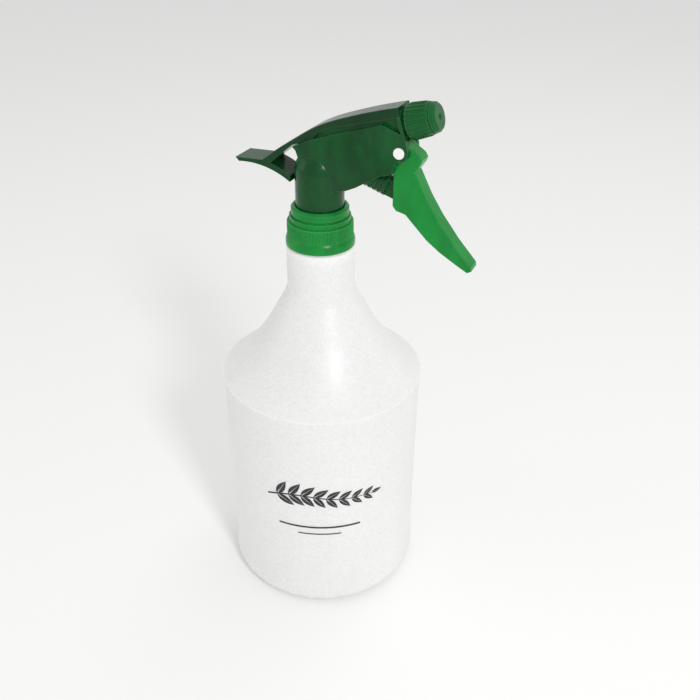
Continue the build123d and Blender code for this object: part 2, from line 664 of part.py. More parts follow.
# ================================================================ trigger pin
with BuildPart() as trigger_pin:
    with BuildSketch(Plane.XZ.offset(-WALL_HALF_W)):
        with Locations((PIN_X, PIN_Z)):
            Circle(PIN_R)
    extrude(amount=2 * WALL_HALF_W + SEAT_GAP)
    with BuildSketch(Plane.XZ.offset(WALL_HALF_W + SEAT_GAP)):
        with Locations((PIN_X, PIN_Z)):
            Circle(PIN_HEAD_R)
    extrude(amount=PIN_HEAD_T)
    fillet(trigger_pin.faces().sort_by(Axis.Y)[0].edges(), radius=PIN_HEAD_T / 2)
    chamfer(trigger_pin.faces().sort_by(Axis.Y)[-1].edges(), length=PIN_HEAD_T / 2)
save(trigger_pin.part, "trigger_pin")

# ================================================================ piston and its two seals
PISTON_TAIL_S = PISTON_HEAD_S + SEAL_L
RIB_START_S = PISTON_FRONT_S - RIB_COUNT * RIB_PITCH
TONGUE_FACE_S = PUSH_BAR_S - PUSH_BAR_R - LOOSE_GAP

with BuildPart() as piston:
    with BuildSketch(barrel_plane):
        Polygon(
            (PISTON_HEAD_S, PISTON_BORE_R),
            (PISTON_HEAD_S, SEAL_ROOT_R + SEAL_STEP_H),
            (PISTON_HEAD_S + SEAL_STEP_L, SEAL_ROOT_R + SEAL_STEP_H),
            (PISTON_HEAD_S + SEAL_STEP_L, SEAL_ROOT_R),
            (PISTON_TAIL_S, SEAL_ROOT_R),
            (PISTON_TAIL_S, PISTON_R),
            (WIPER_S, PISTON_R),
            (WIPER_S, SEAL_ROOT_R),
            (WIPER_S + WIPER_L, SEAL_ROOT_R),
            (WIPER_S + WIPER_L, PISTON_R),
            (PISTON_FRONT_S, PISTON_R),
            (PISTON_FRONT_S, 0),
            (PISTON_BORE_END_S, 0),
            (PISTON_BORE_END_S, PISTON_BORE_R),
            align=None,
        )
    revolve(axis=barrel_axis)
    with BuildSketch(barrel_plane):
        for i in range(RIB_COUNT):
            groove_s = RIB_START_S + i * RIB_PITCH
            Polygon(
                (groove_s, PISTON_R - RIB_DEPTH),
                (groove_s + RIB_GAP, PISTON_R - RIB_DEPTH),
                (groove_s + RIB_GAP, PISTON_R + 1),
                (groove_s, PISTON_R + 1),
                align=None,
            )
    revolve(axis=barrel_axis, mode=Mode.SUBTRACT)
    with BuildSketch(barrel_plane):
        Polygon(
            (PISTON_FRONT_S - 1, TONGUE_LOW),
            (TONGUE_FACE_S, TONGUE_LOW),
            (TONGUE_FACE_S, TONGUE_HIGH),
            (PISTON_FRONT_S - 1, TONGUE_HIGH),
            align=None,
        )
    extrude(amount=TONGUE_HALF_W, both=True)
save(piston.part, "piston")

with BuildPart() as piston_head_seal:
    with BuildSketch(barrel_plane):
        Polygon(
            (PISTON_HEAD_S + SEAL_STEP_L + SEAT_GAP, SEAL_ROOT_R + PRESS_GAP),
            (PISTON_TAIL_S - SEAT_GAP, SEAL_ROOT_R + PRESS_GAP),
            (PISTON_TAIL_S - SEAT_GAP, PISTON_R),
            (PISTON_HEAD_S + SEAL_LIP_L + SEAL_STEP_L, PISTON_R - 0.1),
            (PISTON_HEAD_S + 0.4, BARREL_BORE_R - RUN_GAP),
            (PISTON_HEAD_S - 0.2, BARREL_BORE_R - RUN_GAP),
            (PISTON_HEAD_S + SEAL_STEP_L + SEAT_GAP, SEAL_ROOT_R + 0.3),
            align=None,
        )
    revolve(axis=barrel_axis)
save(piston_head_seal.part, "piston_head_seal")

with BuildPart() as piston_wiper_seal:
    with BuildSketch(barrel_plane):
        Polygon(
            (WIPER_S + SEAT_GAP, SEAL_ROOT_R + PRESS_GAP),
            (WIPER_S + WIPER_L - SEAT_GAP, SEAL_ROOT_R + PRESS_GAP),
            (WIPER_S + WIPER_L - SEAT_GAP, PISTON_R),
            (WIPER_S + WIPER_L / 2, BARREL_BORE_R - RUN_GAP),
            (WIPER_S + SEAT_GAP, PISTON_R),
            align=None,
        )
    revolve(axis=barrel_axis)
save(piston_wiper_seal.part, "piston_wiper_seal")


def coil_spring(start, direction, length, radius, wire_r, turns):
    """An open coil spring whose ends lie inside the given length."""
    run = length - 2 * wire_r
    with BuildPart() as coil:
        with BuildLine() as path:
            first = start + wire_r * Vector(*direction)
            Helix(pitch=run / turns, height=run, radius=radius, center=first, direction=direction)
        with BuildSketch(Plane(origin=path.line @ 0, z_dir=path.line % 0)):
            Circle(wire_r)
        sweep(path=path.line, is_frenet=True)
    return coil.part


# ================================================================ return spring
spring_start = barrel_plane.from_local_coords((SPRING_END_GAP, 0, 0))
spring_l = PISTON_BORE_END_S - 2 * SPRING_END_GAP
return_spring = coil_spring(spring_start, BARREL_DIR, spring_l, SPRING_R, SPRING_WIRE_R, SPRING_TURNS)
save(return_spring, "return_spring")

# ================================================================ inlet ball, tube holder, dip tube
with BuildPart() as inlet_ball:
    with Locations((0, 0, BALL_Z)):
        Sphere(BALL_R)
save(inlet_ball.part, "inlet_ball")

HOLDER_R = INLET_BORE_R - PRESS_GAP
HOLDER_BOTTOM_Z = INLET_BOTTOM_Z - SEAT_GAP - HOLDER_FLANGE_H
with BuildPart() as tube_holder:
    with BuildSketch(Plane.XZ):
        Polygon(
            (TUBE_R + PRESS_GAP, HOLDER_BOTTOM_Z),
            (INLET_R, HOLDER_BOTTOM_Z),
            (INLET_R, HOLDER_BOTTOM_Z + HOLDER_FLANGE_H),
            (HOLDER_R, HOLDER_BOTTOM_Z + HOLDER_FLANGE_H),
            (HOLDER_R, SEAT_Z),
            (SEAT_R, SEAT_Z),
            (TUBE_BORE_R - 0.4, SEAT_Z - 1.5),
            (TUBE_BORE_R - 0.4, TUBE_SOCKET_TOP_Z),
            (TUBE_R + PRESS_GAP, TUBE_SOCKET_TOP_Z),
            align=None,
        )
    revolve(axis=Axis.Z)
save(tube_holder.part, "tube_holder")

with BuildPart() as dip_tube:
    with BuildSketch(Plane.XY.offset(TUBE_BOTTOM_Z)):
        Circle(TUBE_R)
        Circle(TUBE_BORE_R, mode=Mode.SUBTRACT)
    extrude(amount=TUBE_SOCKET_TOP_Z - SEAT_GAP - TUBE_BOTTOM_Z)
    cut_z = TUBE_BOTTOM_Z + TUBE_R * math.tan(math.radians(TUBE_CUT_DEG))
    cut_dir = (math.sin(math.radians(TUBE_CUT_DEG)), 0, math.cos(math.radians(TUBE_CUT_DEG)))
    split(bisect_by=Plane(origin=(0, 0, cut_z), z_dir=cut_dir), keep=Keep.TOP)
save(dip_tube.part, "dip_tube")

# ================================================================ outlet valve and its spring
VALVE_HEAD_T = VALVE_SEAT_T + SEAT_GAP
with BuildPart() as outlet_valve:
    with BuildSketch(nozzle_plane):
        Polygon(
            (VALVE_SEAT_T - VALVE_NOSE_L, 0),
            (VALVE_SEAT_T - VALVE_NOSE_L, DUCT_BORE_R - VALVE_NOSE_GAP),
            (VALVE_HEAD_T, VALVE_R),
            (VALVE_HEAD_T + VALVE_HEAD_L, VALVE_R),
            (VALVE_HEAD_T + VALVE_HEAD_L, VALVE_STEM_R),
            (VALVE_HEAD_T + VALVE_HEAD_L + VALVE_STEM_L, VALVE_STEM_R),
            (VALVE_HEAD_T + VALVE_HEAD_L + VALVE_STEM_L, 0),
            align=None,
        )
    revolve(axis=nozzle_axis)
save(outlet_valve.part, "outlet_valve")

VALVE_SPRING_T = VALVE_HEAD_T + VALVE_HEAD_L + SEAT_GAP
VALVE_SPRING_L = -SPIGOT_PLUG_L - SEAT_GAP - VALVE_SPRING_T
valve_spring_start = nozzle_plane.from_local_coords((VALVE_SPRING_T, 0, 0))
outlet_spring = coil_spring(
    valve_spring_start, NOZZLE_DIR, VALVE_SPRING_L, VALVE_SPRING_R, VALVE_WIRE_R, VALVE_SPRING_TURNS
)
save(outlet_spring, "outlet_spring")

# ================================================================ nozzle spigot and swirl plug
with BuildPart() as nozzle_spigot:
    with BuildSketch(nozzle_plane):
        Polygon(
            (-SPIGOT_PLUG_L, SPIGOT_BORE_R),
            (-SPIGOT_PLUG_L, VALVE_BORE_R - PRESS_GAP),
            (SEAT_GAP, VALVE_BORE_R - PRESS_GAP),
            (SEAT_GAP, SPIGOT_FLANGE_R),
            (SPIGOT_FLANGE_L, SPIGOT_FLANGE_R),
            (SPIGOT_FLANGE_L, SPIGOT_R),
            (SPIGOT_FRONT_T, SPIGOT_R),
            (SPIGOT_FRONT_T, SWIRL_R + PRESS_GAP),
            (SPIGOT_FRONT_T - SWIRL_L, SWIRL_R + PRESS_GAP),
            (SPIGOT_FRONT_T - SWIRL_L, SPIGOT_BORE_R),
            align=None,
        )
    revolve(axis=nozzle_axis)
save(nozzle_spigot.part, "nozzle_spigot")

with BuildPart() as swirl_plug:
    with BuildSketch(nozzle_plane):
        Polygon(
            (SPIGOT_FRONT_T - SWIRL_L + SEAT_GAP, 0),
            (SPIGOT_FRONT_T + SWIRL_STEP_L, 0),
            (SPIGOT_FRONT_T + SWIRL_STEP_L, SWIRL_R - 0.3),
            (SPIGOT_FRONT_T, SWIRL_R),
            (SPIGOT_FRONT_T - SWIRL_L + SEAT_GAP, SWIRL_R),
            align=None,
        )
    revolve(axis=nozzle_axis)
    with BuildSketch(across_nozzle(SPIGOT_FRONT_T + SWIRL_STEP_L)):
        with PolarLocations(SWIRL_R, SWIRL_SLOTS):
            Rectangle(SWIRL_SLOT_L, SWIRL_SLOT_W)
    extrude(amount=-SWIRL_L, mode=Mode.SUBTRACT)
save(swirl_plug.part, "swirl_plug")

# ================================================================ nozzle seal and nozzle cap
with BuildPart() as nozzle_seal:
    with BuildSketch(nozzle_plane):
        with Locations((RING_T, SPIGOT_R + RUN_GAP + RING_SECTION_R)):
            Circle(RING_SECTION_R)
    revolve(axis=nozzle_axis)
save(nozzle_seal.part, "nozzle_seal")

RING_SEAT_R = SPIGOT_R + RUN_GAP + 2 * RING_SECTION_R + RUN_GAP
RING_END_T = RING_T + RING_SECTION_R + SEAT_GAP
NOZZLE_BORE_R = SPIGOT_R + LOOSE_GAP
with BuildPart() as nozzle_cap:
    with BuildSketch(nozzle_plane):
        Polygon(
            (NOZZLE_BACK_T, RING_SEAT_R),
            (NOZZLE_BACK_T, NOZZLE_BACK_R),
            (NOZZLE_GRIP_END_T, NOZZLE_GRIP_END_R),
            (NOZZLE_GRIP_END_T, NOZZLE_GRIP_END_R - NOZZLE_GROOVE_DEPTH),
            (NOZZLE_GRIP_END_T + NOZZLE_GROOVE_L, NOZZLE_GRIP_END_R - NOZZLE_GROOVE_DEPTH),
            (NOZZLE_GRIP_END_T + NOZZLE_GROOVE_L, NOZZLE_GRIP_END_R - 0.2),
            (NOZZLE_FRONT_T - 0.9, NOZZLE_GRIP_END_R - 0.5),
            (NOZZLE_FRONT_T, NOZZLE_FRONT_R),
            (NOZZLE_FRONT_T, ORIFICE_R + 1.2),
            (NOZZLE_FRONT_T - 1.0, ORIFICE_R),
            (NOZZLE_INSIDE_T, ORIFICE_R),
            (NOZZLE_INSIDE_T, NOZZLE_BORE_R),
            (RING_END_T, NOZZLE_BORE_R),
            (RING_END_T, RING_SEAT_R),
            align=None,
        )
    revolve(axis=nozzle_axis)
    with BuildSketch(across_nozzle(NOZZLE_BACK_T)):
        with PolarLocations(NOZZLE_BACK_R + NOZZLE_GRIP_R, NOZZLE_GRIPS):
            Circle(NOZZLE_GRIP_R + NOZZLE_GRIP_DEPTH)
    extrude(amount=NOZZLE_GRIP_END_T - NOZZLE_BACK_T - NOZZLE_GRIP_STOP_L, mode=Mode.SUBTRACT)
save(nozzle_cap.part, "nozzle_cap")
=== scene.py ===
"""Hand mister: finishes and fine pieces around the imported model, laid out as a Blender add-on."""
import json
import math

import bmesh
import bpy
from bpy.props import FloatProperty, FloatVectorProperty, IntProperty, PointerProperty
from mathutils import Matrix, Vector


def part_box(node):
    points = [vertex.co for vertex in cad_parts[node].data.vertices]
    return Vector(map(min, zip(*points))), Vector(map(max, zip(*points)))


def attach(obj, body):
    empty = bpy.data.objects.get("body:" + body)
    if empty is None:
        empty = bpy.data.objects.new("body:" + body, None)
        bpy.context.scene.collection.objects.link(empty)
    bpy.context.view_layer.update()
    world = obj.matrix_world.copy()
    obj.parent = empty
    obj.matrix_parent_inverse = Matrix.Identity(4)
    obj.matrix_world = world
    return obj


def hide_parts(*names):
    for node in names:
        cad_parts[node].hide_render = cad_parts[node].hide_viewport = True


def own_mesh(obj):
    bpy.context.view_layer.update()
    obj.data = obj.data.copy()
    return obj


bl_info = {
    "name": "Hand mister finishes",
    "version": (1, 0, 0),
    "blender": (4, 5, 0),
    "location": "View3D > Sidebar > Mister",
    "description": "Finishes, ribs, springs and the printed sprig of a hand mister",
    "category": "Object",
}

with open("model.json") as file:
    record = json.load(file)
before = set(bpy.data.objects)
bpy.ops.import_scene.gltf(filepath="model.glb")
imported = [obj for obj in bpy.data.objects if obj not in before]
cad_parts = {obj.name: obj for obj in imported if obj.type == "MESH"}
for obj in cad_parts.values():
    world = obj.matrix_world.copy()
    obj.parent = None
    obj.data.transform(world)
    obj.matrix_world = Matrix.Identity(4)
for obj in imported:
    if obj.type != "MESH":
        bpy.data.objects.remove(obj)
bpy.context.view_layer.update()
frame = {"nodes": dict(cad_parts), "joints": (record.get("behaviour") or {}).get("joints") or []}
MM = 0.001
RECORD_JOINTS = {joint["name"]: joint for joint in frame["joints"]}

# ------------------------------------------------------------------ axes from the joints
BARREL_DIR = -Vector(RECORD_JOINTS["piston_stroke"]["axis"]).normalized()
NOZZLE_DIR = Vector(RECORD_JOINTS["nozzle_turn"]["axis"]).normalized()
NOZZLE_FACE = Vector(RECORD_JOINTS["nozzle_turn"]["pos_m"])


def node_middle(node):
    """Middle of a CAD node's box."""
    low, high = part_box(node)
    return (low + high) / 2


# ------------------------------------------------------------------ small helpers for shader nodes
def linear(hex_colour):
    """An sRGB hex value as a linear colour with alpha 1."""
    values = [int(hex_colour[i:i + 2], 16) / 255 for i in (1, 3, 5)]
    return [v / 12.92 if v <= 0.04045 else ((v + 0.055) / 1.055) ** 2.4 for v in values] + [1.0]


def add_node(tree, kind, settings=None, inputs=None, links=None):
    """One node of a tree, with its settings, input values and incoming links."""
    node = tree.nodes.new(kind)
    for name, value in (settings or {}).items():
        setattr(node, name, value)
    for name, value in (inputs or {}).items():
        node.inputs[name].default_value = value
    for name, source in (links or {}).items():
        tree.links.new(source, node.inputs[name])
    return node


def new_material(name):
    """An empty node material with its output and one Principled shader."""
    material = bpy.data.materials.new(name)
    material.use_nodes = True
    tree = material.node_tree
    tree.nodes.clear()
    shader = add_node(tree, "ShaderNodeBsdfPrincipled")
    output = add_node(tree, "ShaderNodeOutputMaterial")
    tree.links.new(shader.outputs[0], output.inputs[0])
    return material, tree, shader


def grain(tree, size_mm, detail=3.0, stretch=(1.0, 1.0, 1.0), roughness=0.55):
    """Noise on object coordinates whose features measure size_mm, stretched along the axes."""
    place = add_node(tree, "ShaderNodeTexCoord")
    spread = add_node(
        tree, "ShaderNodeMapping", inputs={"Scale": stretch},
        links={"Vector": place.outputs["Object"]},
    )
    return add_node(
        tree,
        "ShaderNodeTexNoise",
        inputs={"Scale": 1 / (size_mm * MM), "Detail": detail, "Roughness": roughness},
        links={"Vector": spread.outputs[0]},
    )


def steps(tree, source, stops):
    """A ramp from a value to colours, given as (position, colour)."""
    ramp = add_node(tree, "ShaderNodeValToRGB", links={"Fac": source})
    elements = ramp.color_ramp.elements
    while len(elements) < len(stops):
        elements.new(0.5)
    for element, (position, colour) in zip(elements, stops):
        element.position = position
        element.color = colour
    return ramp


def spread_value(tree, source, low, high):
    """The middle half of a noise value, 0.25 to 0.75, spread between low and high."""
    return add_node(
        tree,
        "ShaderNodeMapRange",
        inputs={"From Min": 0.25, "From Max": 0.75, "To Min": low, "To Max": high},
        links={"Value": source},
    )


def add_bump(tree, shader, source, height_mm, strength):
    """Surface relief from a value."""
    bump = add_node(
        tree,
        "ShaderNodeBump",
        inputs={"Strength": strength, "Distance": height_mm * MM},
        links={"Height": source},
    )
    tree.links.new(bump.outputs[0], shader.inputs["Normal"])
    return bump


def dress(node, material):
    """Give a carried-over CAD node its finish."""
    slots = frame["nodes"][node].data.materials
    slots.clear()
    slots.append(material)


# ------------------------------------------------------------------ finishes
def blown_polyethylene(colour):
    """Extrusion-blown HDPE, unpigmented: milky, light soaks in, soft sheen, faint orange peel."""
    material, tree, shader = new_material("blown_polyethylene")
    cloud = grain(tree, 38, detail=3.0, stretch=(1.0, 1.0, 0.4))
    milk = linear(colour)
    shade = [c * 0.94 for c in milk[:3]] + [1.0]
    ramp = steps(tree, cloud.outputs["Fac"], [(0.3, shade), (0.7, milk)])
    # flecks of uneven wall in the milky plastic, 1.4 mm across
    flecks = grain(tree, 1.4, detail=3.0)
    thin, thick = linear("#F7F7F7"), linear("#FFFFFF")
    pale = steps(tree, flecks.outputs["Fac"], [(0.35, thin), (0.62, thick)])
    mottled = add_node(
        tree, "ShaderNodeMix", {"data_type": "RGBA", "blend_type": "MULTIPLY"}, {0: 1.0},
        {6: ramp.outputs[0], 7: pale.outputs[0]},
    )
    tree.links.new(mottled.outputs[2], shader.inputs["Base Color"])
    scuffs = grain(tree, 9, detail=5.0)
    gloss = spread_value(tree, scuffs.outputs["Fac"], 0.34, 0.47)
    tree.links.new(gloss.outputs[0], shader.inputs["Roughness"])
    shader.inputs["IOR"].default_value = 1.54
    shader.inputs["Subsurface Weight"].default_value = 0.55
    shader.inputs["Subsurface Radius"].default_value = (1.0, 1.0, 1.0)
    shader.inputs["Subsurface Scale"].default_value = 2.5 * MM
    # peel of the blow mould, drawn at 1.6 mm so that it shows
    peel = grain(tree, 1.6, detail=2.0)
    add_bump(tree, shader, peel.outputs["Fac"], height_mm=0.05, strength=0.35)
    return material


def edge_share(tree, radius_mm):
    """How close a point is to a sharp edge: 0 on a face, 1 on the edge.

    The rounded normal is compared with the flat one: their cosine falls from 0.99 to 0.8.
    """
    rounded = add_node(tree, "ShaderNodeBevel", {"samples": 6}, {"Radius": radius_mm * MM})
    surface = add_node(tree, "ShaderNodeNewGeometry")
    match = add_node(
        tree, "ShaderNodeVectorMath", {"operation": "DOT_PRODUCT"}, None,
        {0: rounded.outputs[0], 1: surface.outputs["Normal"]},
    )
    return add_node(
        tree,
        "ShaderNodeMapRange",
        inputs={"From Min": 0.99, "From Max": 0.8, "To Min": 0.0, "To Max": 1.0},
        links={"Value": match.outputs["Value"]},
    )


def moulded_polypropylene(name, colour, gloss_low, gloss_high, deepest=0.72):
    """Injection-moulded PP: deep colour, soft flow marks, painted highlights along sharp edges,
    gloss broken by handling.
    """
    material, tree, shader = new_material(name)
    flow = grain(tree, 14, detail=3.0, stretch=(1.0, 1.0, 0.5))
    full = linear(colour)
    deep = [c * deepest for c in full[:3]] + [1.0]
    ramp = steps(tree, flow.outputs["Fac"], [(0.36, deep), (0.64, full)])
    # painted highlight: a paler colour mixed in along the sharp edges, drawn 0.4 mm wide
    pale = [min(1.0, c * 1.5 + 0.05) for c in full[:3]] + [1.0]
    painted_edge_highlight = add_node(
        tree, "ShaderNodeMix", {"data_type": "RGBA"}, {7: pale},
        {0: edge_share(tree, 0.4).outputs[0], 6: ramp.outputs[0]},
    )
    tree.links.new(painted_edge_highlight.outputs[2], shader.inputs["Base Color"])
    wear = grain(tree, 3.2, detail=6.0, roughness=0.7)
    gloss = spread_value(tree, wear.outputs["Fac"], gloss_low, gloss_high)
    tree.links.new(gloss.outputs[0], shader.inputs["Roughness"])
    shader.inputs["IOR"].default_value = 1.49
    shader.inputs["Specular IOR Level"].default_value = 0.26
    shader.inputs["Subsurface Weight"].default_value = 0.12
    shader.inputs["Subsurface Scale"].default_value = 1.2 * MM
    # texture of the mould's steel, drawn at 0.5 mm so that it shows
    skin = grain(tree, 0.5, detail=2.0)
    add_bump(tree, shader, skin.outputs["Fac"], height_mm=0.02, strength=0.3)
    return material


def moulded_acetal(name, colour):
    """Injection-moulded acetal: dense white, waxy, fairly glossy."""
    material, tree, shader = new_material(name)
    cloud = grain(tree, 3, detail=2.0)
    white = linear(colour)
    shade = [c * 0.92 for c in white[:3]] + [1.0]
    ramp = steps(tree, cloud.outputs["Fac"], [(0.3, shade), (0.7, white)])
    tree.links.new(ramp.outputs[0], shader.inputs["Base Color"])
    gloss = spread_value(tree, cloud.outputs["Fac"], 0.28, 0.4)
    tree.links.new(gloss.outputs[0], shader.inputs["Roughness"])
    add_bump(tree, shader, cloud.outputs["Fac"], height_mm=0.02, strength=0.2)
    return material


def moulded_elastomer(name, colour):
    """Compression-moulded soft elastomer: matt, slightly dusty."""
    material, tree, shader = new_material(name)
    dust = grain(tree, 1.2, detail=4.0)
    full = linear(colour)
    deep = [c * 0.85 for c in full[:3]] + [1.0]
    ramp = steps(tree, dust.outputs["Fac"], [(0.3, deep), (0.7, full)])
    tree.links.new(ramp.outputs[0], shader.inputs["Base Color"])
    gloss = spread_value(tree, dust.outputs["Fac"], 0.6, 0.8)
    tree.links.new(gloss.outputs[0], shader.inputs["Roughness"])
    add_bump(tree, shader, dust.outputs["Fac"], height_mm=0.03, strength=0.3)
    return material


def drawn_stainless_wire():
    """Cold-drawn stainless steel: bright metal with fine marks flattened across Z."""
    material, tree, shader = new_material("drawn_stainless_wire")
    lines = grain(tree, 0.4, detail=3.0, stretch=(1.0, 1.0, 4.0))
    bright, dull = linear("#C9C8C4"), linear("#A5A4A0")
    ramp = steps(tree, lines.outputs["Fac"], [(0.3, dull), (0.7, bright)])
    tree.links.new(ramp.outputs[0], shader.inputs["Base Color"])
    gloss = spread_value(tree, lines.outputs["Fac"], 0.18, 0.34)
    tree.links.new(gloss.outputs[0], shader.inputs["Roughness"])
    shader.inputs["Metallic"].default_value = 1.0
    add_bump(tree, shader, lines.outputs["Fac"], height_mm=0.01, strength=0.2)
    return material


def screen_ink(colour):
    """Screen-printed ink: nearly black, semi-matt, with thin spots in the film."""
    material, tree, shader = new_material("screen_ink")
    thin = grain(tree, 0.9, detail=5.0)
    full = linear(colour)
    weak = [min(1.0, c * 2.2 + 0.012) for c in full[:3]] + [1.0]
    ramp = steps(tree, thin.outputs["Fac"], [(0.34, weak), (0.5, full)])
    tree.links.new(ramp.outputs[0], shader.inputs["Base Color"])
    gloss = spread_value(tree, thin.outputs["Fac"], 0.4, 0.58)
    tree.links.new(gloss.outputs[0], shader.inputs["Roughness"])
    add_bump(tree, shader, thin.outputs["Fac"], height_mm=0.01, strength=0.25)
    return material


# ------------------------------------------------------------------ user sizes and colours
PRINT_DRAWN = 30


def colour_property(name, description, default):
    """A colour that a user may change, as sRGB."""
    return FloatVectorProperty(
        name=name, description=description, default=default, subtype="COLOR_GAMMA", min=0, max=1
    )


class MisterColours(bpy.types.PropertyGroup):
    """Colours of the visible plastics, as sRGB."""

    bottle: colour_property("Bottle", "Milky bottle wall", (0.965, 0.965, 0.962))
    head: colour_property("Head", "Pump body", (0.015, 0.34, 0.14))
    roof: colour_property("Roof", "Roof and tail", (0.01, 0.25, 0.10))
    lever: colour_property("Lever", "Trigger", (0.03, 0.56, 0.21))
    nozzle: colour_property("Nozzle", "Nozzle cap", (0.02, 0.37, 0.15))
    cap: colour_property("Cap", "Closure cap", (0.04, 0.55, 0.21))
    ink: colour_property("Ink", "Printed sprig", (0.12, 0.12, 0.13))


class MisterSizes(bpy.types.PropertyGroup):
    """Sizes of the fine pieces."""

    cap_ribs: IntProperty(
        name="Cap ribs", description="Ribs round the closure cap", default=76, min=8
    )
    cap_rib_r: FloatProperty(
        name="Cap rib radius", description="Radius of a cap rib", default=0.34 * MM, unit="LENGTH"
    )
    nozzle_ribs: IntProperty(
        name="Nozzle ribs", description="Ribs round the nozzle cap", default=22, min=6
    )
    nozzle_rib_r: FloatProperty(
        name="Nozzle rib radius",
        description="Radius of a nozzle rib",
        default=0.52 * MM,
        unit="LENGTH",
    )
    print_size: FloatProperty(
        name="Print size",
        description="What 30 drawn millimetres of the print measure; its place scales with it",
        default=PRINT_DRAWN * MM,
        unit="LENGTH",
    )
    lens: FloatProperty(
        name="Lens", description="Focal length of the camera", default=41.73, unit="CAMERA"
    )


def hex_of(colour):
    """A property's sRGB colour as a hex value."""
    return "#%02X%02X%02X" % tuple(round(255 * c) for c in colour)


# ------------------------------------------------------------------ geometry helpers
def mesh_object(name, mesh):
    """A new object at the origin that holds the mesh."""
    obj = bpy.data.objects.new(name, mesh)
    bpy.context.scene.collection.objects.link(obj)
    return obj


def mesh_from(name, points, faces, smooth=True):
    """An object from points and faces, doubles merged and normals outwards."""
    mesh = bpy.data.meshes.new(name)
    mesh.from_pydata(points, [], faces)
    form = bmesh.new()
    form.from_mesh(mesh)
    bmesh.ops.remove_doubles(form, verts=form.verts, dist=1e-7)
    bmesh.ops.recalc_face_normals(form, faces=form.faces)
    for face in form.faces:
        face.smooth = smooth
    form.to_mesh(mesh)
    form.free()
    return mesh_object(name, mesh)


def frame_along(direction, origin):
    """Matrix whose Z runs along direction, from origin."""
    turn = Vector(direction).to_track_quat("Z", "Y").to_matrix().to_4x4()
    return Matrix.Translation(origin) @ turn


RIB_SOCKETS = (
    ("Count", "NodeSocketInt"),
    ("Ring Radius", "NodeSocketFloat"),
    ("Rib Radius", "NodeSocketFloat"),
    ("Rib Length", "NodeSocketFloat"),
    ("Lean", "NodeSocketFloat"),
    ("Place", "NodeSocketVector"),
    ("Turn", "NodeSocketVector"),
    ("Finish", "NodeSocketMaterial"),
)


def rib_tree():
    """Geometry nodes for a ring of round-ended ribs, leaned and then placed."""
    tree = bpy.data.node_groups.new("rib_ring", "GeometryNodeTree")
    for name, kind in RIB_SOCKETS:
        tree.interface.new_socket(name, in_out="INPUT", socket_type=kind)
    tree.interface.new_socket("Geometry", in_out="OUTPUT", socket_type="NodeSocketGeometry")
    given = add_node(tree, "NodeGroupInput")
    ring = add_node(
        tree,
        "GeometryNodeMeshCircle",
        links={"Vertices": given.outputs["Count"], "Radius": given.outputs["Ring Radius"]},
    )
    half = add_node(
        tree, "ShaderNodeMath", {"operation": "MULTIPLY"}, {1: 0.5},
        {0: given.outputs["Rib Length"]},
    )
    top = add_node(tree, "ShaderNodeCombineXYZ", links={"Z": half.outputs[0]})
    low = add_node(
        tree, "ShaderNodeVectorMath", {"operation": "SCALE"}, {"Scale": -1.0}, {0: top.outputs[0]}
    )
    line = add_node(
        tree, "GeometryNodeCurvePrimitiveLine",
        links={"Start": low.outputs[0], "End": top.outputs[0]},
    )
    fine = add_node(
        tree, "GeometryNodeResampleCurve", inputs={"Count": 12}, links={"Curve": line.outputs[0]}
    )
    along = add_node(tree, "GeometryNodeSplineParameter")
    # thickness along the rib: 1.04 - (2t - 1)^8, so the ends are rounded and still closed
    centred = add_node(
        tree, "ShaderNodeMath", {"operation": "MULTIPLY_ADD"}, {1: 2.0, 2: -1.0},
        {0: along.outputs["Factor"]},
    )
    flat = add_node(
        tree, "ShaderNodeMath", {"operation": "POWER"}, {1: 8.0}, {0: centred.outputs[0]}
    )
    swell = add_node(
        tree, "ShaderNodeMath", {"operation": "SUBTRACT"}, {0: 1.04}, {1: flat.outputs[0]}
    )
    thick = add_node(
        tree, "ShaderNodeMath", {"operation": "MULTIPLY"}, None,
        {0: swell.outputs[0], 1: given.outputs["Rib Radius"]},
    )
    outline = add_node(
        tree, "GeometryNodeCurvePrimitiveCircle", inputs={"Resolution": 10, "Radius": 1.0}
    )
    rib = add_node(
        tree, "GeometryNodeCurveToMesh", inputs={"Fill Caps": True},
        links={
            "Curve": fine.outputs[0],
            "Profile Curve": outline.outputs[0],
            "Scale": thick.outputs[0],
        },
    )
    number = add_node(tree, "GeometryNodeInputIndex")
    share = add_node(
        tree, "ShaderNodeMath", {"operation": "DIVIDE"}, {0: 2 * math.pi},
        {1: given.outputs["Count"]},
    )
    angle = add_node(
        tree, "ShaderNodeMath", {"operation": "MULTIPLY"}, None,
        {0: number.outputs[0], 1: share.outputs[0]},
    )
    lean = add_node(
        tree, "ShaderNodeCombineXYZ", links={"Y": given.outputs["Lean"], "Z": angle.outputs[0]}
    )
    turned = add_node(tree, "FunctionNodeEulerToRotation", links={"Euler": lean.outputs[0]})
    copies = add_node(
        tree, "GeometryNodeInstanceOnPoints",
        links={
            "Points": ring.outputs[0],
            "Instance": rib.outputs[0],
            "Rotation": turned.outputs[0],
        },
    )
    placed = add_node(
        tree, "GeometryNodeTransform",
        links={
            "Geometry": copies.outputs[0],
            "Translation": given.outputs["Place"],
            "Rotation": given.outputs["Turn"],
        },
    )
    real = add_node(tree, "GeometryNodeRealizeInstances", links={"Geometry": placed.outputs[0]})
    finished = add_node(
        tree, "GeometryNodeSetMaterial",
        links={"Geometry": real.outputs[0], "Material": given.outputs["Finish"]},
    )
    add_node(tree, "NodeGroupOutput", links={"Geometry": finished.outputs[0]})
    return tree


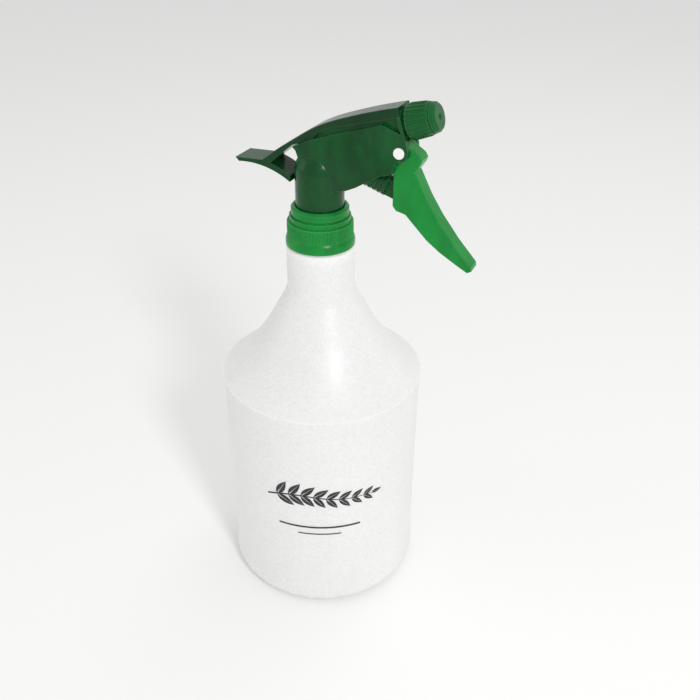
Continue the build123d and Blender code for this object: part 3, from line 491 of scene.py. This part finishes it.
def baked_ribs(name, values):
    """Evaluate the rib tree with the given inputs and keep the result as a plain mesh."""
    tree = bpy.data.node_groups.get("rib_ring") or rib_tree()
    carrier = mesh_object(name, bpy.data.meshes.new(name + "_seed"))
    modifier = carrier.modifiers.new("ribs", "NODES")
    modifier.node_group = tree
    sockets = {
        item.name: item.identifier
        for item in tree.interface.items_tree
        if item.in_out == "INPUT"
    }
    for key, value in values.items():
        modifier[sockets[key]] = value
    carrier.update_tag()
    depsgraph = bpy.context.evaluated_depsgraph_get()
    mesh = bpy.data.meshes.new_from_object(carrier.evaluated_get(depsgraph), depsgraph=depsgraph)
    carrier.modifiers.remove(modifier)
    carrier.data = mesh
    for face in mesh.polygons:
        face.use_smooth = True
    return carrier


def coil_mesh(name, place, length, radius, wire_r, turns, closed_turns=1.0):
    """A coil spring along place's Z, from 0 to length, with closed end turns."""
    steps_per_turn, sides = 28, 10
    total = turns + 2 * closed_turns
    count = int(total * steps_per_turn)
    # a closed turn rises by the wire's thickness and a little air
    wire = 2.1 * wire_r
    free = length - 2 * wire_r - 2 * closed_turns * wire
    points, faces = [], []
    for i in range(count + 1):
        turn = i / steps_per_turn
        if turn < closed_turns:
            height = wire * turn
        elif turn > closed_turns + turns:
            height = closed_turns * wire + free + wire * (turn - closed_turns - turns)
        else:
            height = closed_turns * wire + free * (turn - closed_turns) / turns
        angle = 2 * math.pi * turn
        out = Vector((math.cos(angle), math.sin(angle), 0))
        centre = out * radius + Vector((0, 0, height + wire_r))
        for k in range(sides):
            around = 2 * math.pi * k / sides
            points.append(
                place @ (centre + out * wire_r * math.cos(around)
                         + Vector((0, 0, wire_r * math.sin(around))))
            )
    for i in range(count):
        for k in range(sides):
            a, b = i * sides + k, i * sides + (k + 1) % sides
            faces.append((a, b, b + sides, a + sides))
    faces.append(tuple(range(sides)))
    faces.append(tuple(count * sides + k for k in range(sides)))
    return mesh_from(name, [tuple(p) for p in points], faces)


# ------------------------------------------------------------------ operators
class MISTER_OT_bottle(bpy.types.Operator):
    """Finish the bottle"""

    bl_idname = "mister.bottle"
    bl_label = "Bottle"

    def execute(self, context):
        colours = context.scene.mister_colours
        dress("bottle", blown_polyethylene(hex_of(colours.bottle)))
        return {"FINISHED"}


class MISTER_OT_head(bpy.types.Operator):
    """Finish the pump body, roof, trigger, cap, nozzle and pin"""

    bl_idname = "mister.head"
    bl_label = "Head"

    def execute(self, context):
        colours = context.scene.mister_colours
        dark = moulded_polypropylene("moulded_pp_head", hex_of(colours.head), 0.13, 0.27, 0.5)
        bright = moulded_polypropylene("moulded_pp_lever", hex_of(colours.lever), 0.16, 0.3)
        cap = moulded_polypropylene("moulded_pp_cap", hex_of(colours.cap), 0.2, 0.34)
        tip = moulded_polypropylene("moulded_pp_nozzle", hex_of(colours.nozzle), 0.16, 0.3, 0.6)
        roof = moulded_polypropylene("moulded_pp_roof", hex_of(colours.roof), 0.13, 0.27, 0.6)
        dress("head_cover", roof)
        for node in ("pump_body", "piston", "nozzle_spigot"):
            dress(node, dark)
        dress("trigger", bright)
        dress("nozzle_cap", tip)
        dress("closure_cap", cap)
        dress("trigger_pin", moulded_acetal("moulded_acetal_pin", "#F2F2EE"))
        return {"FINISHED"}


class MISTER_OT_inside(bpy.types.Operator):
    """Finish the pieces inside the head and bottle"""

    bl_idname = "mister.inside"
    bl_label = "Inner pieces"

    def execute(self, context):
        acetal = moulded_acetal("moulded_acetal_inner", "#E9E9E4")
        for node in ("tube_holder", "swirl_plug", "outlet_valve", "dip_tube"):
            dress(node, acetal)
        soft = moulded_elastomer("moulded_elastomer", "#D8D8D0")
        for node in ("piston_head_seal", "piston_wiper_seal", "nozzle_seal", "neck_gasket"):
            dress(node, soft)
        dress("inlet_ball", drawn_stainless_wire())
        return {"FINISHED"}


class MISTER_OT_springs(bpy.types.Operator):
    """Wind the two springs with closed end turns"""

    bl_idname = "mister.springs"
    bl_label = "Springs"

    def execute(self, context):
        wire = bpy.data.materials.get("drawn_stainless_wire")
        # the return spring stands between the barrel's end and the piston
        barrel_len, barrel_r, barrel_wire = 26.3 * MM, 3.3 * MM, 0.4 * MM
        barrel_turns = 8.0
        middle = node_middle("return_spring")
        start = middle - BARREL_DIR * barrel_len / 2
        coil = coil_mesh(
            "return_coil", frame_along(BARREL_DIR, start),
            barrel_len, barrel_r, barrel_wire, barrel_turns,
        )
        coil.data.materials.append(wire)
        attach(coil, "pump_head")
        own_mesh(coil)
        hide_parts("return_spring")
        # the outlet spring stands between the poppet and the nozzle's spigot
        valve_len, valve_r, valve_wire = 4.1 * MM, 1.6 * MM, 0.22 * MM
        valve_turns, valve_closed = 3.0, 0.75
        middle = node_middle("outlet_spring")
        start = middle - NOZZLE_DIR * valve_len / 2
        coil = coil_mesh(
            "outlet_coil", frame_along(NOZZLE_DIR, start),
            valve_len, valve_r, valve_wire, valve_turns, valve_closed,
        )
        coil.data.materials.append(wire)
        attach(coil, "pump_head")
        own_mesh(coil)
        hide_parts("outlet_spring")
        return {"FINISHED"}


class MISTER_OT_ribs(bpy.types.Operator):
    """Raise the grip ribs of the closure cap and the nozzle"""

    bl_idname = "mister.ribs"
    bl_label = "Grip ribs"

    def execute(self, context):
        sizes = context.scene.mister_sizes
        low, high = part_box("closure_cap")
        # the ribbed band runs from above the plain foot to below the collars
        foot_h, collars_h, skirt_r = 4.4 * MM, 7.3 * MM, 15.3 * MM
        skirt_low, skirt_high = low.z + foot_h, high.z - collars_h
        ribs = baked_ribs(
            "cap_ribs",
            {
                "Count": sizes.cap_ribs,
                "Ring Radius": skirt_r - sizes.cap_rib_r,
                "Rib Radius": sizes.cap_rib_r,
                "Rib Length": skirt_high - skirt_low,
                "Lean": 0.0,
                "Place": (0.0, 0.0, (skirt_low + skirt_high) / 2),
                "Turn": (0.0, 0.0, 0.0),
                "Finish": bpy.data.materials["moulded_pp_cap"],
            },
        )
        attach(ribs, "closure_cap")
        # the nozzle's grip narrows from its back to its front, and the ribs lean with it
        grip_from, grip_to = 2.1 * MM, 11.0 * MM
        back_r, front_r = 7.28 * MM, 6.56 * MM
        sunk = 0.3
        lean = math.atan2(back_r - front_r, grip_to - grip_from)
        middle = NOZZLE_FACE + NOZZLE_DIR * (grip_from + grip_to) / 2
        turn = frame_along(NOZZLE_DIR, middle).to_euler()
        ribs = baked_ribs(
            "nozzle_ribs",
            {
                "Count": sizes.nozzle_ribs,
                "Ring Radius": (back_r + front_r) / 2 - sunk * sizes.nozzle_rib_r,
                "Rib Radius": sizes.nozzle_rib_r,
                "Rib Length": grip_to - grip_from,
                "Lean": -lean,
                "Place": tuple(middle),
                "Turn": tuple(turn),
                "Finish": bpy.data.materials["moulded_pp_nozzle"],
            },
        )
        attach(ribs, "nozzle_cap")
        return {"FINISHED"}


class MISTER_OT_print(bpy.types.Operator):
    """Print the sprig and two rules on the bottle's front"""

    bl_idname = "mister.print"
    bl_label = "Print"

    def execute(self, context):
        ink = screen_ink(hex_of(context.scene.mister_colours.ink))
        body_r, ink_lift = 49.5 * MM, 0.03 * MM
        wall_r = body_r + ink_lift
        facing = math.radians(-66)
        # the print is drawn in millimetres and scaled here
        scale = context.scene.mister_sizes.print_size / PRINT_DRAWN

        def on_wall(x, z):
            """A point of the print at x round the wall and z up it."""
            angle = facing + x / wall_r
            return (wall_r * math.cos(angle), wall_r * math.sin(angle), z)

        points, faces = [], []

        def strip(centre_line, half_widths):
            """A band of ink along a line, with a half width at each of its points."""
            first = len(points)
            for i, (x, z) in enumerate(centre_line):
                ahead = centre_line[min(i + 1, len(centre_line) - 1)]
                behind = centre_line[max(i - 1, 0)]
                dx, dz = ahead[0] - behind[0], ahead[1] - behind[1]
                run = math.hypot(dx, dz)
                half = half_widths[i]
                for side in (-1, 1):
                    points.append(on_wall(x - side * half * dz / run, z + side * half * dx / run))
            for i in range(len(centre_line) - 1):
                a = first + 2 * i
                faces.append((a, a + 1, a + 3, a + 2))

        def leaf(base, angle, length, width):
            """A pointed leaf from its base, with a bare midrib."""
            count, fullness, midrib, thinnest = 14, 0.8, 0.05, 0.02
            ux, uz = math.cos(angle), math.sin(angle)
            for side in (-1, 1):
                line, halves = [], []
                for i in range(count + 1):
                    t = i / count
                    bulge = width * math.sin(math.pi * t ** fullness) / 2
                    inner = midrib * width * (1 - t)
                    mid = side * (bulge + inner) / 2
                    halves.append(max(thinnest, (bulge - inner) / 2))
                    x = base[0] + ux * length * t - uz * mid
                    z = base[1] + uz * length * t + ux * mid
                    line.append((x, z))
                strip([(x * scale, z * scale) for x, z in line], [h * scale for h in halves])

        # a leafy branch lying along the wall, with two plain rules below it
        branch_z, half_run, count = 74.0, 27.0, 40
        arch, ripple, ripples = 3.2, 1.2, 7
        stem_half, stem_taper = 0.5, 0.34

        def branch(t):
            """The branch's line, from its root at 0 to its tip at 1."""
            bend = branch_z + arch * math.sin(math.pi * t) + ripple * math.sin(ripples * t)
            return half_run * (2 * t - 1), bend

        line = [branch(i / count) for i in range(count + 1)]
        strip(
            [(x * scale, z * scale) for x, z in line],
            [(stem_half - stem_taper * i / count) * scale for i in range(count + 1)],
        )
        # pairs of leaves that shorten and close up towards the tip, then one at the tip
        pairs, first_pair, pair_run = 8, 0.1, 0.82
        leaf_l, leaf_taper, leaf_w = 11.0, 4.6, 0.4
        splay, splay_taper = 46, 10
        tip_turn, tip_l, tip_w = 0.1, 6.0, 2.3
        for i in range(pairs):
            t = first_pair + pair_run * i / (pairs - 1)
            x, z = branch(t)
            ahead = branch(t + 0.01)
            slope = math.atan2(ahead[1] - z, ahead[0] - x)
            size = leaf_l - leaf_taper * t
            for side in (-1, 1):
                lean = side * math.radians(splay - splay_taper * t)
                leaf((x, z), slope + lean, size, leaf_w * size)
        leaf(branch(1.0), tip_turn, tip_l, tip_w)
        # each rule's height, half length and half width
        half_count = 20
        for z, half_len, half_w in ((57.0, 21.0, 0.55), (52.5, 11.0, 0.38)):
            line = [
                (half_len * (i / half_count - 1) * scale, z * scale)
                for i in range(2 * half_count + 1)
            ]
            strip(line, [half_w * scale] * len(line))
        piece = mesh_from("front_print", points, faces, smooth=True)
        piece.data.materials.append(ink)
        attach(piece, "bottle")
        return {"FINISHED"}


# name, place in metres, power in watts and width in metres of each rectangular light
LIGHTS = (
    ("key", (0.75, -0.62, 0.85), 5.0, 0.17),
    ("side", (-0.9, -0.5, 0.55), 0.6, 0.4),
    ("top", (0.1, 0.5, 1.2), 1.5, 0.5),
)
LIGHT_SHAPE = 1.6
BACKDROP_STRENGTH = 0.74
CAMERA_EYE = (0.1561, -0.3065, 0.3520)
CAMERA_LOOK = (-0.351, 0.765, -0.5405)
CAMERA_ROLL = 0.46


class MISTER_OT_stage(bpy.types.Operator):
    """Floor, lights and camera"""

    bl_idname = "mister.stage"
    bl_label = "Stage"

    def execute(self, context):
        scene = context.scene
        half = 6.0
        corners = [(-half, -half, 0), (half, -half, 0), (half, half, 0), (-half, half, 0)]
        floor = mesh_from("floor", corners, [(0, 1, 2, 3)])
        material, _, shader = new_material("pale_paper")
        shader.inputs["Base Color"].default_value = linear("#F6F6F5")
        shader.inputs["Roughness"].default_value = 0.85
        floor.data.materials.append(material)

        world = bpy.data.worlds.new("studio")
        scene.world = world
        world.use_nodes = True
        backdrop = world.node_tree.nodes["Background"]
        backdrop.inputs["Color"].default_value = linear("#FFFFFF")
        backdrop.inputs["Strength"].default_value = BACKDROP_STRENGTH
        scene.view_settings.view_transform = "Standard"

        target = Vector((0, 0, 0.15))
        for name, place, power, width in LIGHTS:
            light = bpy.data.lights.new(name, "AREA")
            light.energy = power
            light.shape = "RECTANGLE"
            light.size = width
            light.size_y = width * LIGHT_SHAPE
            lamp = bpy.data.objects.new(name, light)
            scene.collection.objects.link(lamp)
            lamp.location = place
            lamp.rotation_euler = (target - Vector(place)).to_track_quat("-Z", "Y").to_euler()

        look = Vector(CAMERA_LOOK).normalized()
        roll = math.radians(CAMERA_ROLL)
        right = look.cross(Vector((0, 0, 1))).normalized()
        up = right.cross(look)
        right_rolled = right * math.cos(roll) + up * math.sin(roll)
        up_rolled = right_rolled.cross(look)
        lens = bpy.data.cameras.new("view")
        lens.lens = context.scene.mister_sizes.lens
        lens.sensor_width = 36.0
        lens.clip_start = 0.01
        camera = bpy.data.objects.new("view", lens)
        scene.collection.objects.link(camera)
        axes = Matrix((right_rolled, up_rolled, -look)).transposed().to_4x4()
        camera.matrix_world = Matrix.Translation(CAMERA_EYE) @ axes
        scene.camera = camera
        return {"FINISHED"}


OPERATORS = (
    MISTER_OT_bottle,
    MISTER_OT_head,
    MISTER_OT_inside,
    MISTER_OT_springs,
    MISTER_OT_ribs,
    MISTER_OT_print,
    MISTER_OT_stage,
)


class VIEW3D_PT_mister(bpy.types.Panel):
    """Sidebar panel that lists the mister's pieces"""

    bl_label = "Hand mister"
    bl_space_type = "VIEW_3D"
    bl_region_type = "UI"
    bl_category = "Mister"

    def draw(self, context):
        layout = self.layout
        for group in (context.scene.mister_colours, context.scene.mister_sizes):
            for name in group.bl_rna.properties.keys():
                if name not in ("rna_type", "name"):
                    layout.prop(group, name)
        for operator in OPERATORS:
            layout.operator(operator.bl_idname)


CLASSES = (MisterColours, MisterSizes, *OPERATORS, VIEW3D_PT_mister)


def register():
    """Register the classes and hang the properties on the scene."""
    for cls in CLASSES:
        bpy.utils.register_class(cls)
    bpy.types.Scene.mister_colours = PointerProperty(type=MisterColours)
    bpy.types.Scene.mister_sizes = PointerProperty(type=MisterSizes)


def unregister():
    """Undo register."""
    del bpy.types.Scene.mister_sizes
    del bpy.types.Scene.mister_colours
    for cls in reversed(CLASSES):
        bpy.utils.unregister_class(cls)


def main():
    """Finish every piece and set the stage."""
    register()
    bpy.ops.mister.bottle()
    bpy.ops.mister.head()
    bpy.ops.mister.inside()
    bpy.ops.mister.springs()
    bpy.ops.mister.ribs()
    bpy.ops.mister.print()
    bpy.ops.mister.stage()


if __name__ == "__main__":
    main()
